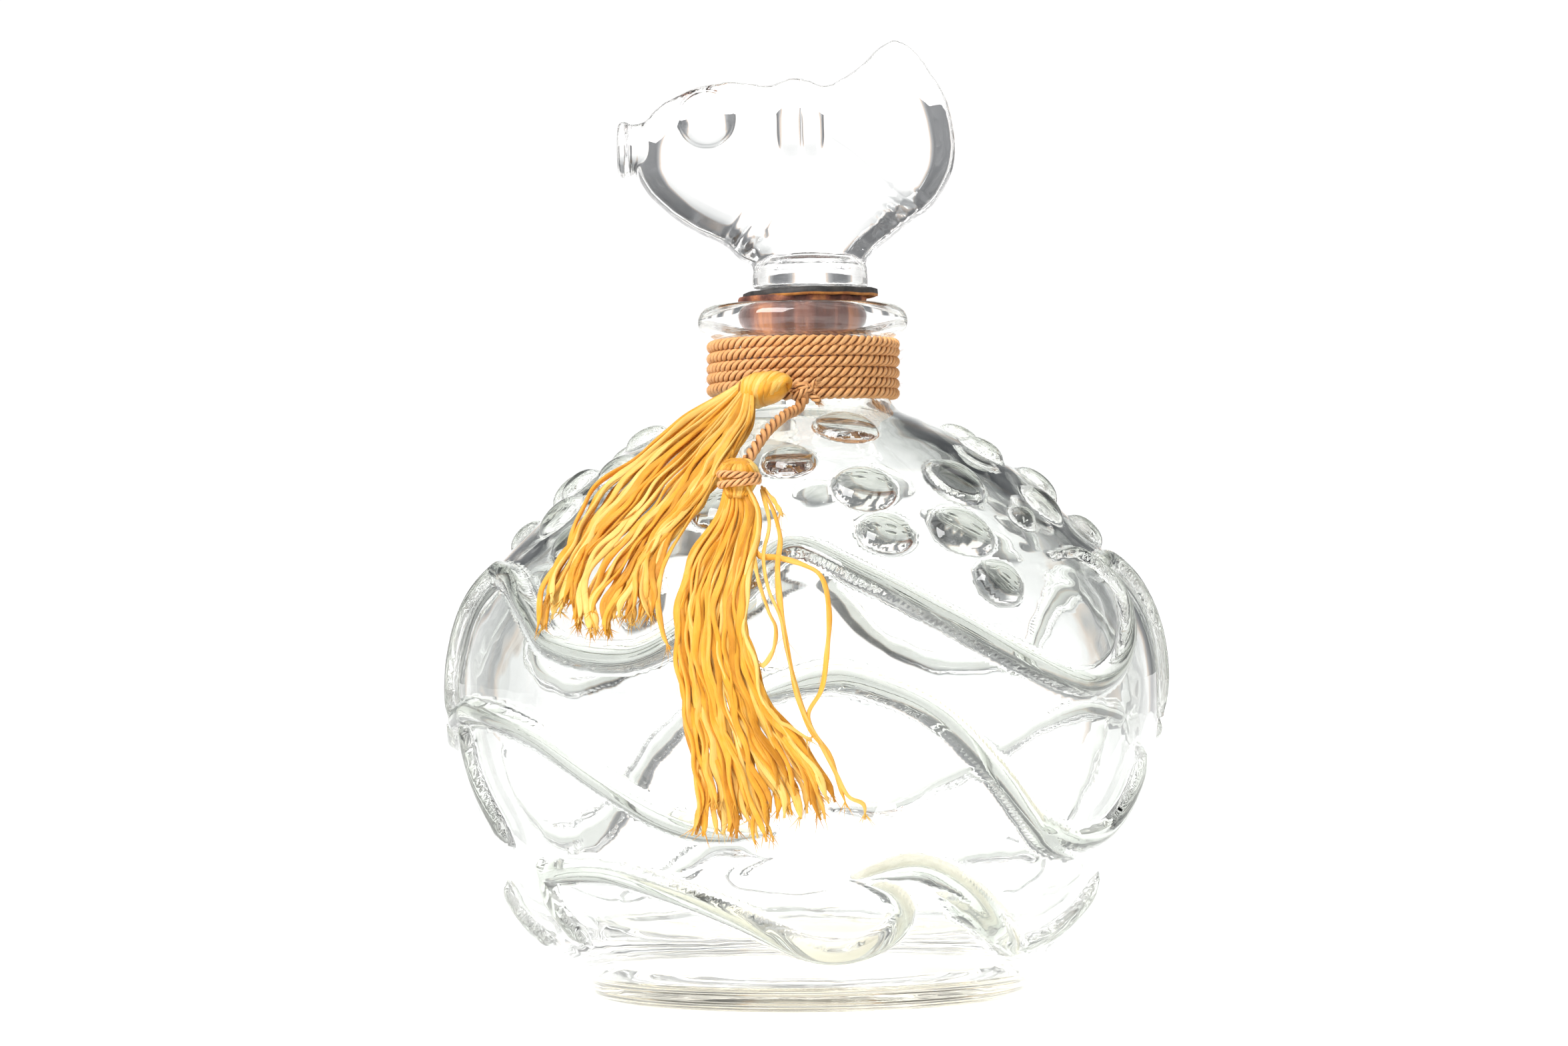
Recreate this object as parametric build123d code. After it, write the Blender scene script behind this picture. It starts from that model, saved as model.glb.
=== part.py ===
from build123d import *
import math
import os

# Glass perfume flacon with a cast fish stopper, a corded neck and two silk tassels.
# Millimetres, +Z up.  The origin is the centre of the foot's resting face.  The tassels
# hang at the front, which is -Y, and azimuth is measured from -Y towards +X.

# ---------------------------------------------------------------- driving dimensions
FOOT_RADIUS = 41.4
FOOT_HEIGHT = 4.5
FOOT_EDGE = 2.0
BELLY_RADIUS = 66.5          # smooth glass, under the raised pattern
BELLY_Z = 58.0
NECK_RADIUS = 16.1
NECK_BASE_Z = 112.0
LIP_RADIUS = 19.85
LIP_BOTTOM_Z = 123.6
LIP_TOP_Z = 129.9
BORE_RADIUS = 12.25
FLOOR_Z = 7.5                # inner floor of the bottle

SEAM_TURN = 77.6             # turns the glass surface's seam to a plain stretch of the shoulder
RELIEF = 1.8                 # how far ridges stand out of the glass
RIDGE_RADIUS = 2.4
BUBBLE_RELIEF = 2.0

CORD_DIAMETER = 2.0
CORD_TURNS = 6
WINDING_RADIUS = 18.1
WINDING_BOTTOM_Z = 111.3

STOPPER_X = 1.5              # the fish's peg sits a little off the neck's axis
CORK_TOP_RADIUS = 12.3
CORK_BOTTOM_RADIUS = 11.4
CORK_TOP_Z = 131.4
CORK_LENGTH = 19.0
PEG_RADIUS = 6.5
PEG_LENGTH = 14.0
PEG_CLEARANCE = 0.05
WASHER_RADIUS = 12.9
WASHER_HOLE_RADIUS = 7.2
WASHER_THICKNESS = 0.8
WASHER_TILT = 1.5
WASHER_Z = 132.17
COLLAR_RADIUS = 10.95
COLLAR_BOTTOM_Z = 132.9
COLLAR_TOP_Z = 137.4

FISH_HALF_THICKNESS = 6.5
FISH_EDGE = 2.0

SOFT_GAP = 0.4               # air between a soft piece and what it lies beside
LOCK_DIAMETER = 2.3          # one lock of silk threads
STRAY_DIAMETER = 1.0

# ---------------------------------------------------------------- outlines (radius, z)
LOWER_SKIN = [(42.6, FOOT_HEIGHT), (49.9, 11.0), (56.8, 21.0), (62.4, 33.5), (65.5, 46.0),
              (BELLY_RADIUS, BELLY_Z)]
UPPER_SKIN = [(65.4, 68.0), (61.8, 76.6), (56.3, 83.0), (50.5, 88.8), (44.3, 95.0), (38.6, 99.4),
              (30.8, 104.0), (23.8, 107.4), (18.6, 109.6), (NECK_RADIUS, NECK_BASE_Z)]
CAVITY_SKIN = [(0.0, FLOOR_Z), (32.0, 8.6), (46.0, 13.6), (54.0, 21.8), (59.0, 33.5), (62.0, 47.0),
               (62.6, BELLY_Z), (61.2, 67.0), (57.2, 75.4), (51.8, 81.6), (46.2, 87.2), (40.2, 92.8),
               (34.8, 96.8), (27.6, 101.0), (20.4, 104.6), (14.6, 107.8), (BORE_RADIUS, 111.4)]

# ---------------------------------------------------------------- raised pattern (azimuth, z)
# One half of the bottle.  The other half repeats it, turned by 180 degrees about the axis.
RIDGES = {
    "top_wave": [(-74, 80), (-61, 78), (-51, 72.5), (-44, 67), (-33, 64.5), (-24, 66), (-13, 74.5), (-3, 83.5),
                 (10, 78), (22, 71), (34, 64), (47, 59), (57, 61.5), (63, 68), (66, 76), (61, 82), (51, 82)],
    "top_left_strand": [(-76, 78.6), (-79.5, 74), (-80, 66), (-82, 58), (-79, 51)],
    "top_right_strand": [(68.5, 81.6), (76, 80.6), (84, 74), (86, 64), (85, 52)],
    "middle_left": [(-85, 49), (-77, 52.5), (-67, 54.5), (-57, 53.5), (-46, 50), (-34, 42.5), (-24, 36.5),
                    (-15, 34)],
    "middle_left_hook": [(-71, 48), (-69, 42), (-65, 35), (-62, 30.5)],
    "middle_right": [(-7, 58), (3, 61), (11, 59), (20, 54), (30, 44), (37, 36.5), (44, 30.5), (52, 27.5)],
    "middle_right_branch": [(45.5, 33.4), (53, 30.8), (61, 32.4), (67, 38), (69, 44)],
    "low_left_strand": [(-53, 26), (-55, 21), (-54, 16), (-52, 12.5)],
    "low_upper": [(-50, 25.8), (-37, 26.3), (-24.5, 23), (-13, 18.4), (-1, 12.6), (7, 11.7), (14, 14), (17, 18),
                  (14, 22.8), (7.5, 25.5)],
    "low_crest": [(11, 26.6), (18, 27.2), (27, 23.4), (35, 18), (42, 13.6), (49, 11)],
    "low_right": [(52, 11.5), (58, 13.4), (64, 18), (65.5, 23)],
    "low_edge": [(-75, 22), (-79, 18), (-76, 14), (-68, 12)],
}
# azimuth, z, diameter
BUBBLES = [
    (16, 105.8, 12.0), (-4.3, 99.4, 9.7), (13.7, 94.3, 11.6), (15.5, 86, 10.3), (38.7, 95.7, 12.0),
    (32, 86.4, 12.4), (34, 77.4, 9.7), (71, 101.6, 9.0), (96, 104.6, 9.0), (65, 91.2, 10.0), (87, 95.4, 10.0),
    (51, 88.6, 5.5), (84, 86.5, 8.5), (-59, 98.4, 9.0), (-76, 96, 8.5), (-66, 90, 10.5), (-51, 85.4, 10.0),
    (-30, 101, 9.5), (-38, 92.2, 9.6), (-19, 90.6, 9.5),
]

# ---------------------------------------------------------------- soft pieces
TASSEL_A_AZIMUTH = -35.0
TASSEL_A_DRIFT = -1.5        # how far a skirt's tips turn from its top, in degrees
TASSEL_B_AZIMUTH = -13.4
TASSEL_B_DRIFT = 2.5
SKIRT_SPREAD = 2.1           # width at a skirt's tips against its width at the binding
HEAD_A_START = (-5.8, -21.9, 113.3)
HEAD_A_END = (-9.6, -20.7, 112.9)
HEAD_A_RADIUS = 3.3
NECK_KNOT = (-0.2, -20.65, 112.3)
NECK_KNOT_RADII = (1.9, 2.5, 2.6)
KNOT_B_RADIUS = 3.9
KNOT_B_Z = 92.3
# root and tip of each frayed cord end, and its radius at both
CORD_TAILS = {
    "upper": ((1.85, -20.7, 114.2), (3.4, -21.8, 115.6)),
    "lower": ((2.2, -20.5, 111.2), (3.8, -21.3, 109.6)),
}
TAIL_ROOT = 0.7
TAIL_TIP = 0.4
CORD_ROUTE = [(-1.3, -21.8, 109.0), (-3.7, -29.2, 107.9), (-7.1, -37.6, 104.5), (-10.4, -45.4, 98.9)]
SKIRT_A_HEIGHTS = [106.4, 104.2, 99.4, 93.6, 87.4, 80.6, 74.0, 68.4]
SKIRT_B_HEIGHTS = [87.8, 84.6, 78.4, 71.2, 62.6, 52.4, 42.0, 32.4]
# azimuth, z of the loose threads beside each skirt
STRAYS_B = {
    "tassel_b_stray_1": [(-5.6, 88), (-5, 79), (-3.4, 70), (-1.6, 61), (1, 52), (5, 43.5), (8.6, 36)],
    "tassel_b_stray_2": [(-3.4, 80), (0.5, 76), (3.4, 70.5), (4.6, 63), (3.6, 56)],
}
STRAYS_A = {
    "tassel_a_stray_1": [(-21.8, 92), (-22.4, 86), (-23.6, 80), (-24.4, 73.5), (-24.2, 67)],
}


# ---------------------------------------------------------------- small helpers
def turned(outline):
    """Solid of revolution about +Z from a closed outline of edges given in (radius, z)."""
    return revolve(Plane.XZ * make_face(outline), axis=Axis.Z)


def skin_curve():
    """Outer outline of the smooth glass from the foot to the neck."""
    return Spline(*LOWER_SKIN, *UPPER_SKIN)


SKIN = skin_curve()


def skin_radius(z):
    """Radius of the smooth glass at a height, found on its outline by bisection."""
    low, high = 0.0, 1.0
    for _ in range(40):
        middle = (low + high) / 2
        if (SKIN @ middle).Y < z:
            low = middle
        else:
            high = middle
    return (SKIN @ low).X


def skin_slope(z, step=0.5):
    """Outward normal of the smooth glass at a height, as (radial, vertical) parts."""
    run = skin_radius(z + step) - skin_radius(z - step)
    length = math.hypot(run, 2 * step)
    return 2 * step / length, -run / length


def at_azimuth(azimuth, radius, z):
    """Point at a given azimuth and radius."""
    angle = math.radians(azimuth)
    return (radius * math.sin(angle), -radius * math.cos(angle), z)


def off_skin(azimuth, z, height):
    """Point that stands off the smooth glass by a height along its normal."""
    radial, vertical = skin_slope(z)
    return at_azimuth(azimuth, skin_radius(z) + height * radial, z + height * vertical)


def corner_radii(points):
    """Largest even-looking arc at each inner point of a run of points."""
    corners = [Vector(*p) for p in points]
    radii = []
    for before, here, after in zip(corners, corners[1:], corners[2:]):
        turn = math.radians((here - before).get_angle(after - here))
        shorter = min((here - before).length, (after - here).length)
        radii.append(0.45 * shorter / math.tan(turn / 2))
    return radii


def tube(points, diameter):
    """Round tube along straight runs joined by tangent arcs."""
    path = FilletPolyline(*points, radius=corner_radii(points))
    start = Plane(origin=path @ 0, z_dir=path % 0)
    return sweep(start * Circle(diameter / 2), path=path)


def report_tube(name, points, diameter, solid):
    """Print a tube's arcs, its length and how its volume compares with section times length."""
    length = FilletPolyline(*points, radius=corner_radii(points)).length
    expected = length * math.pi * diameter ** 2 / 4
    radii = ", ".join(f"{r:.1f}" for r in corner_radii(points))
    print(f"{name}: length {length:.1f}, volume ratio {solid.volume / expected:.4f}, radii {radii}")


def both_halves(shapes):
    """The given shapes and their copies turned by 180 degrees about the bottle's axis."""
    return [Rot(0, 0, turn) * shape for turn in (0, 180) for shape in shapes]


# ---------------------------------------------------------------- glass bottle
def bottle_blank():
    """Solid outer form: foot, belly, shoulder, neck and rolled lip."""
    lip_centre_x = LIP_RADIUS - (LIP_TOP_Z - LIP_BOTTOM_Z) / 2
    lip_centre_z = (LIP_TOP_Z + LIP_BOTTOM_Z) / 2
    foot_corner = FOOT_EDGE * (1 - math.sqrt(0.5))
    outline = [
        Line((0, 0), (FOOT_RADIUS - FOOT_EDGE, 0)),
        ThreePointArc((FOOT_RADIUS - FOOT_EDGE, 0), (FOOT_RADIUS - foot_corner, foot_corner),
                      (FOOT_RADIUS, FOOT_EDGE)),
        Line((FOOT_RADIUS, FOOT_EDGE), (FOOT_RADIUS, FOOT_HEIGHT)),
        Line((FOOT_RADIUS, FOOT_HEIGHT), LOWER_SKIN[0]),
        SKIN,
        Line(UPPER_SKIN[-1], (NECK_RADIUS, LIP_BOTTOM_Z)),
        Line((NECK_RADIUS, LIP_BOTTOM_Z), (lip_centre_x, LIP_BOTTOM_Z)),
        ThreePointArc((lip_centre_x, LIP_BOTTOM_Z), (LIP_RADIUS, lip_centre_z), (lip_centre_x, LIP_TOP_Z)),
        Line((lip_centre_x, LIP_TOP_Z), (0, LIP_TOP_Z)),
        Line((0, LIP_TOP_Z), (0, 0)),
    ]
    return turned(outline)


def bottle_cavity():
    """Hollow of the bottle: rounded inside, then the straight neck bore with an eased mouth."""
    above = LIP_TOP_Z + 1
    ease = 1.2
    outline = [
        Spline(*CAVITY_SKIN, tangents=[(1, 0), (0, 1)]),
        Line(CAVITY_SKIN[-1], (BORE_RADIUS, LIP_TOP_Z - ease)),
        Line((BORE_RADIUS, LIP_TOP_Z - ease), (BORE_RADIUS + ease, LIP_TOP_Z)),
        Line((BORE_RADIUS + ease, LIP_TOP_Z), (BORE_RADIUS + ease, above)),
        Line((BORE_RADIUS + ease, above), (0, above)),
        Line((0, above), CAVITY_SKIN[0]),
    ]
    return turned(outline)


def ridge(points):
    """One raised wave line: a half-sunk round bead that follows the glass."""
    depth = RELIEF - RIDGE_RADIUS
    route = [off_skin(azimuth, z, depth) for azimuth, z in points]
    ends = [Pos(*route[0]) * Sphere(RIDGE_RADIUS), Pos(*route[-1]) * Sphere(RIDGE_RADIUS)]
    return [tube(route, 2 * RIDGE_RADIUS)] + ends


def bubble(azimuth, z, diameter):
    """One raised dome: the part of a ball that stands out of the glass."""
    half = diameter / 2
    ball_radius = (half ** 2 + BUBBLE_RELIEF ** 2) / (2 * BUBBLE_RELIEF)
    centre = Vector(*off_skin(azimuth, z, BUBBLE_RELIEF - ball_radius))
    outward = Vector(*off_skin(azimuth, z, 1.0)) - centre
    return Plane(origin=centre, z_dir=outward) * Sphere(ball_radius)


def glass_bottle():
    """Pressed glass bottle with its raised waves and bubbles."""
    blank = Rot(0, 0, SEAM_TURN) * bottle_blank()
    for values in BUBBLES:
        blank = blank.fuse(*both_halves([bubble(*values)]))
    for points in RIDGES.values():
        blank = blank.fuse(*both_halves(ridge(points)))
    return blank.cut(Rot(0, 0, SEAM_TURN) * bottle_cavity())


# ---------------------------------------------------------------- stopper
def cork():
    """Tapered cork with a blind hole for the fish's peg."""
    bottom = CORK_TOP_Z - CORK_LENGTH
    body = turned([
        Polyline((0, bottom), (CORK_BOTTOM_RADIUS, bottom), (CORK_TOP_RADIUS, CORK_TOP_Z), (0, CORK_TOP_Z),
                 (0, bottom)),
    ])
    hole_bottom = COLLAR_BOTTOM_Z - PEG_LENGTH - 0.2
    depth = CORK_TOP_Z - hole_bottom
    hole = Pos(STOPPER_X, 0, hole_bottom + depth / 2) * Cylinder(PEG_RADIUS + PEG_CLEARANCE, depth)
    return body - hole


def washer():
    """Thin seal under the fish's collar, slightly tilted."""
    disc = Cylinder(WASHER_RADIUS, WASHER_THICKNESS) - Cylinder(WASHER_HOLE_RADIUS, 2 * WASHER_THICKNESS)
    return Pos(STOPPER_X, 0, WASHER_Z) * Rot(0, -WASHER_TILT, 0) * disc


def fish_outline():
    """Side outline of the fish in (x, z): head at -X, raised tail at +X."""
    back = Spline((-32.0, 163.0), (-25.6, 169.4), (-14.2, 172.3), (-2.9, 172.6), (4.7, 171.9), (9.7, 175.1),
                  (16.6, 180.1), (22.0, 175.6), (26.4, 167.8), (27.6, 158.0), (23.0, 147.6))
    rear = Spline((23.0, 147.6), (19.8, 146.0), (15.4, 142.3), (12.2, 140.0), (10.6, 136.4))
    base = Line((10.6, 136.4), (-10.6, 136.4))
    belly = Spline((-10.6, 136.4), (-13.2, 138.5), (-16.6, 141.6), (-25.0, 146.1), (-31.3, 152.4), (-32.0, 156.2))
    snout = Line((-32.0, 156.2), (-32.0, 163.0))
    return make_face([back, rear, base, belly, snout])


def fish_body():
    """Fish with rounded rims."""
    slab = extrude(Plane.XZ * fish_outline(), amount=FISH_HALF_THICKNESS, both=True)
    faces = slab.faces().filter_by(Axis.Y)
    rims = [edge for face in faces for edge in face.edges()]
    return fillet(rims, FISH_EDGE)


def fish_relief():
    """Raised eyes, gill bands and mouth lip."""
    shapes = []
    for side in (-1, 1):
        face_y = side * (FISH_HALF_THICKNESS - 0.4)
        shapes.append(Pos(-19.3, face_y, 165.0) * Rot(90, 0, 0) * Cylinder(4.4, 2.2))
        shapes.append(Pos(-19.3, side * (FISH_HALF_THICKNESS + 0.4), 165.0) * Sphere(1.6))
        for x in (-5.7, 1.9):
            shapes.append(Pos(x, face_y, 164.6) * Cylinder(1.2, 12.0))
    mouth = Pos(-34.0, 0, 159.6) * Rot(0, 90, 0) * Cylinder(5.4, 4.4)
    shapes.append(fillet(mouth.edges(), 1.6))
    return shapes


def fish_stopper():
    """Solid glass fish with its round collar and the peg that sits in the cork."""
    collar_height = COLLAR_TOP_Z - COLLAR_BOTTOM_Z
    collar = Pos(0, 0, COLLAR_BOTTOM_Z + collar_height / 2) * Cylinder(COLLAR_RADIUS, collar_height)
    peg = Pos(0, 0, COLLAR_BOTTOM_Z - PEG_LENGTH / 2) * Cylinder(PEG_RADIUS, PEG_LENGTH)
    return Pos(STOPPER_X, 0, 0) * fish_body().fuse(collar, peg, *fish_relief())


# ---------------------------------------------------------------- cord
def neck_cord():
    """Cord wound round the neck: the outer shape of its turns as one sleeve."""
    pitch = CORD_DIAMETER
    crest = WINDING_RADIUS - CORD_DIAMETER / 2
    inner = NECK_RADIUS + 0.05
    top = WINDING_BOTTOM_Z + CORD_TURNS * pitch
    arcs = []
    for turn in range(CORD_TURNS):
        low = WINDING_BOTTOM_Z + turn * pitch
        arcs.append(ThreePointArc((crest, low), (WINDING_RADIUS, low + pitch / 2), (crest, low + pitch)))
    sleeve = turned([
        Line((inner, WINDING_BOTTOM_Z), (crest, WINDING_BOTTOM_Z)),
        *arcs,
        Line((crest, top), (inner, top)),
        Line((inner, top), (inner, WINDING_BOTTOM_Z)),
    ])
    return sleeve.cut(bottle_blank())


def ellipsoid(centre, radii):
    """Ball scaled to three radii."""
    return Pos(*centre) * scale(Sphere(1.0), by=radii)


def neck_knot():
    """Small knot that ties the winding at the front."""
    return ellipsoid(NECK_KNOT, NECK_KNOT_RADII)


def cord_tail(side):
    """Short frayed end of the cord beside the neck knot, on its upper or lower side."""
    root, tip = CORD_TAILS[side]
    axis = Vector(*tip) - Vector(*root)
    return Plane(origin=root, z_dir=axis) * (Pos(0, 0, axis.length / 2) * Cone(TAIL_ROOT, TAIL_TIP, axis.length))


def knot_b_centre():
    """Centre of the lower tassel's knot, resting just off the shoulder."""
    return off_skin(TASSEL_B_AZIMUTH, KNOT_B_Z, BUBBLE_RELIEF + KNOT_B_RADIUS + SOFT_GAP)


# ---------------------------------------------------------------- tassels
def head_a():
    """Wrapped head of the upper tassel."""
    start, end = Vector(*HEAD_A_START), Vector(*HEAD_A_END)
    axis = end - start
    barrel = Plane(origin=start, z_dir=axis) * (Pos(0, 0, axis.length / 2) * Cylinder(HEAD_A_RADIUS, axis.length))
    return barrel.fuse(Pos(*start) * Sphere(HEAD_A_RADIUS), Pos(*end) * Sphere(HEAD_A_RADIUS))


def lock_route(azimuth, drift, heights, layer, across, spread):
    """Points of one lock of threads, draped over the shoulder and fanned out sideways."""
    height = RELIEF + SOFT_GAP + LOCK_DIAMETER * (0.5 + layer)
    angle = math.radians(azimuth)
    points = []
    for index, z in enumerate(heights):
        share = index / (len(heights) - 1)
        offset = across * (1 + (spread - 1) * share ** 1.2)
        x, y, level = off_skin(azimuth + drift * share ** 2, max(z, BELLY_Z), height)
        drop = min(z - BELLY_Z, 0)
        points.append((x + offset * math.cos(angle), y + offset * math.sin(angle), level + drop))
    return points


def skirt(name, azimuth, drift, heights):
    """Two layers of locks of silk threads."""
    pitch = LOCK_DIAMETER + 0.15
    locks = []
    for layer, count in ((0, 4), (1, 3)):
        for index in range(count):
            across = (index - (count - 1) / 2) * pitch
            route = lock_route(azimuth, drift, heights, layer, across, SKIRT_SPREAD)
            locks.append(tube(route, LOCK_DIAMETER))
            report_tube(f"{name} lock {layer}.{index}", route, LOCK_DIAMETER, locks[-1])
    return Compound(children=locks)


def stray(name, points):
    """One loose thread lying beside a skirt."""
    route = [off_skin(azimuth, z, RELIEF + SOFT_GAP + STRAY_DIAMETER / 2) for azimuth, z in points]
    solid = tube(route, STRAY_DIAMETER)
    report_tube(name, route, STRAY_DIAMETER, solid)
    return solid


def hanging_cord():
    """Cord from the neck knot to the lower tassel."""
    solid = tube(CORD_ROUTE, CORD_DIAMETER)
    report_tube("hanging_cord", CORD_ROUTE, CORD_DIAMETER, solid)
    return solid


# ---------------------------------------------------------------- all pieces
def all_nodes():
    nodes = {
        "glass_bottle": glass_bottle(),
        "neck_cord": neck_cord(),
        "neck_knot": neck_knot(),
        "cord_tail_upper": cord_tail("upper"),
        "cord_tail_lower": cord_tail("lower"),
        "cork": cork(),
        "washer": washer(),
        "fish_stopper": fish_stopper(),
        "tassel_a_head": head_a(),
        "tassel_a_skirt": skirt("tassel_a_skirt", TASSEL_A_AZIMUTH, TASSEL_A_DRIFT, SKIRT_A_HEIGHTS),
        "hanging_cord": hanging_cord(),
        "tassel_b_knot": ellipsoid(knot_b_centre(), (KNOT_B_RADIUS,) * 3),
        "tassel_b_skirt": skirt("tassel_b_skirt", TASSEL_B_AZIMUTH, TASSEL_B_DRIFT, SKIRT_B_HEIGHTS),
    }
    for name, points in {**STRAYS_A, **STRAYS_B}.items():
        nodes[name] = stray(name, points)
    return nodes


os.makedirs("parts", exist_ok=True)
for node, shape in all_nodes().items():
    export_step(shape, f"parts/{node}.step")
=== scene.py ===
import math
import random
import bpy
import numpy as np
from mathutils import Matrix, Vector
from mathutils.geometry import delaunay_2d_cdt
from mathutils.kdtree import KDTree

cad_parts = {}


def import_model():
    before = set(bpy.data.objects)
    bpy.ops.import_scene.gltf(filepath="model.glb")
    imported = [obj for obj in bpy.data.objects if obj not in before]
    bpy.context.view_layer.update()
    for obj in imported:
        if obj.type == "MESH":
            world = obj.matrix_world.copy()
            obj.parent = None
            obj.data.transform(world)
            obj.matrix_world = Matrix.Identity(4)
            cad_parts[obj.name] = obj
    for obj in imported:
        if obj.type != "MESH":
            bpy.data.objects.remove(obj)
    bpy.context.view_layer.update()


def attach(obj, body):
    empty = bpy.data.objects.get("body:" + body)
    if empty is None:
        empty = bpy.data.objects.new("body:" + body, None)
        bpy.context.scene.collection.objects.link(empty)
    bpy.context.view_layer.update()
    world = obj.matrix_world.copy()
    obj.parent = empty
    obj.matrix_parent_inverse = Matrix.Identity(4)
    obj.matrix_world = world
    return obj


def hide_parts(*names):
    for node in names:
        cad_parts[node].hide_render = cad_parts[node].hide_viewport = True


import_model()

MM = 0.001

# ------------ sizes, in millimetres
FOOT_RADIUS = 41.4
FOOT_EDGE = 2.0
FOOT_TOP_Z = 4.6
BELLY_Z = 58.0
NECK_RADIUS = 16.1
LIP_RADIUS = 19.85
LIP_BOTTOM_Z = 123.6
LIP_TOP_Z = 129.9
BORE_RADIUS = 12.25
RELIEF = 1.9
RIDGE_HALF_WIDTH = 2.35
BUBBLE_RELIEF = 2.2
STOPPER_X = 1.5
WINDING_CENTRE_RADIUS = 17.15
WASHER_Z = 132.17
FISH_HALF_THICKNESS = 6.1
FISH_RIM_HALF_THICKNESS = 4.2
FISH_BEVEL_SLOPE = 0.41

# Camera, with its lens in millimetres, its place in metres and its angles in degrees; and studio.
CAMERA_LENS = 103.46553
CAMERA_PLACE = (-0.0039, -0.8517, 0.0774)
CAMERA_TILT = 0.763
CAMERA_ROLL = -0.56
FLAGS_PER_TURN = 8.0
STUDIO_STRENGTH = 1.16
BACKDROP_STRENGTH = 1.05

# Glass: its refraction, and the colour that light keeps through its thin wall and foot, and on its raised
# pattern the same faint tint with painted shade, darker grey-green where the pattern stands out.
GLASS_IOR = 1.5
CLEAR_TINT = (0.972, 0.980, 0.974)
RAISED_TINT_AND_SHADE = (0.42, 0.45, 0.395)
FOOT_TINT = (0.70, 0.64, 0.50)

# Outlines as (radius, z).
BODY_SKIN = [(42.6, 4.5), (49.9, 11.0), (56.8, 21.0), (62.4, 33.5), (65.5, 46.0), (66.5, BELLY_Z),
             (65.4, 68.0), (61.8, 76.6), (56.3, 83.0), (50.5, 88.8), (44.3, 95.0), (38.6, 99.4),
             (30.8, 104.0), (23.8, 107.4), (18.6, 109.6), (NECK_RADIUS, 112.0)]
CAVITY_SKIN = [(0.0, 7.5), (32.0, 8.6), (46.0, 13.6), (54.0, 21.8), (59.0, 33.5), (62.0, 47.0),
               (62.6, BELLY_Z), (61.2, 67.0), (57.2, 75.4), (51.8, 81.6), (46.2, 87.2), (40.2, 92.8),
               (34.8, 96.8), (27.6, 101.0), (20.4, 104.6), (14.6, 107.8), (BORE_RADIUS, 111.4)]

# Raised waves as (azimuth in degrees from the front, z), with whether each end runs to a point.
RIDGES = [
    ([(-74, 80), (-61, 78), (-51, 72.5), (-44, 67), (-33, 64.5), (-24, 66), (-13, 74.5), (-3, 83.5), (10, 78),
      (22, 71), (34, 64), (47, 59), (57, 61.5), (63, 68), (66, 76), (61, 82), (51, 82)], False, True),
    ([(-74, 80), (-79.5, 74), (-80, 66), (-82, 58), (-79, 51)], False, True),
    ([(66, 80), (76, 80.6), (84, 74), (86, 64), (85, 52)], False, True),
    ([(-85, 49), (-77, 52.5), (-67, 54.5), (-57, 53.5), (-46, 50), (-34, 42.5), (-24, 36.5), (-15, 34),
      (-6, 34)], False, True),
    ([(-71, 50), (-69, 42), (-65, 35), (-62, 30.5)], False, True),
    ([(-12, 55), (-7, 58), (3, 61), (11, 59), (20, 54), (30, 44), (37, 36.5), (44, 30.5),
      (52, 27.5)], True, True),
    ([(41, 33.5), (47, 31.4), (53, 30.8), (61, 32.4), (67, 38), (69, 44), (67, 47)], False, True),
    ([(-53, 26), (-55, 21), (-54, 16), (-52, 12.5)], False, True),
    ([(-53, 25.4), (-50, 25.8), (-37, 26.3), (-24.5, 23), (-13, 18.4), (-1, 12.6), (7, 11.7), (14, 14),
      (17, 18), (14, 22.8), (7.5, 25.5)], False, True),
    ([(7.5, 25.5), (18, 27.2), (27, 23.4), (35, 18), (42, 13.6), (49, 11)], True, True),
    ([(24, 22), (34, 17), (42, 13), (50, 10)], True, True),
    ([(49, 11.2), (58, 13.4), (64, 18), (65.5, 23)], False, True),
    ([(-75, 22), (-79, 18), (-76, 14), (-68, 12)], True, True),
]
# Raised bubbles as (azimuth, z, diameter).
BUBBLES = [
    (16, 105.8, 12.0), (-4.3, 99.4, 9.7), (13.7, 94.3, 11.6), (15.5, 86, 10.3), (38.7, 95.7, 12.0),
    (32, 86.4, 12.4), (34, 77.4, 9.7), (71, 101.6, 9.0), (96, 104.6, 9.0), (65, 91.2, 10.0), (87, 95.4, 10.0),
    (51, 88.6, 5.5), (84, 86.5, 8.5), (-59, 98.4, 9.0), (-76, 96, 8.5), (-66, 90, 10.5), (-51, 85.4, 10.0),
    (-30, 101, 9.5), (-38, 92.2, 9.6), (-19, 90.6, 9.5),
]


# ------------ curves
def smooth_line(points, steps):
    """Catmull-Rom curve through points, with the same number of steps on every span."""
    p = np.asarray(points, float)
    p = np.vstack([2 * p[0] - p[1], p, 2 * p[-1] - p[-2]])
    t = np.linspace(0, 1, steps, endpoint=False)[:, None]
    spans = []
    for a, b, c, d in zip(p, p[1:], p[2:], p[3:]):
        spans.append(0.5 * (2 * b + (c - a) * t + (2 * a - 5 * b + 4 * c - d) * t ** 2
                            + (3 * b - a - 3 * c + d) * t ** 3))
    return np.vstack([*spans, p[-2:-1]])


def length_along(line):
    """Length of a line up to each of its points."""
    return np.concatenate([[0], np.cumsum(np.linalg.norm(np.diff(line, axis=0), axis=1))])


def even_line(line, spacing):
    """The same line with points at an even spacing."""
    along = length_along(line)
    count = max(int(round(along[-1] / spacing)) + 1, 3)
    places = np.linspace(0, along[-1], count)
    return np.stack([np.interp(places, along, line[:, i]) for i in range(line.shape[1])], axis=1)


SKIN_LINE = smooth_line(BODY_SKIN, 16)


def skin_radius(z):
    """Radius of the smooth glass at each height."""
    return np.interp(z, SKIN_LINE[:, 1], SKIN_LINE[:, 0])


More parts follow.
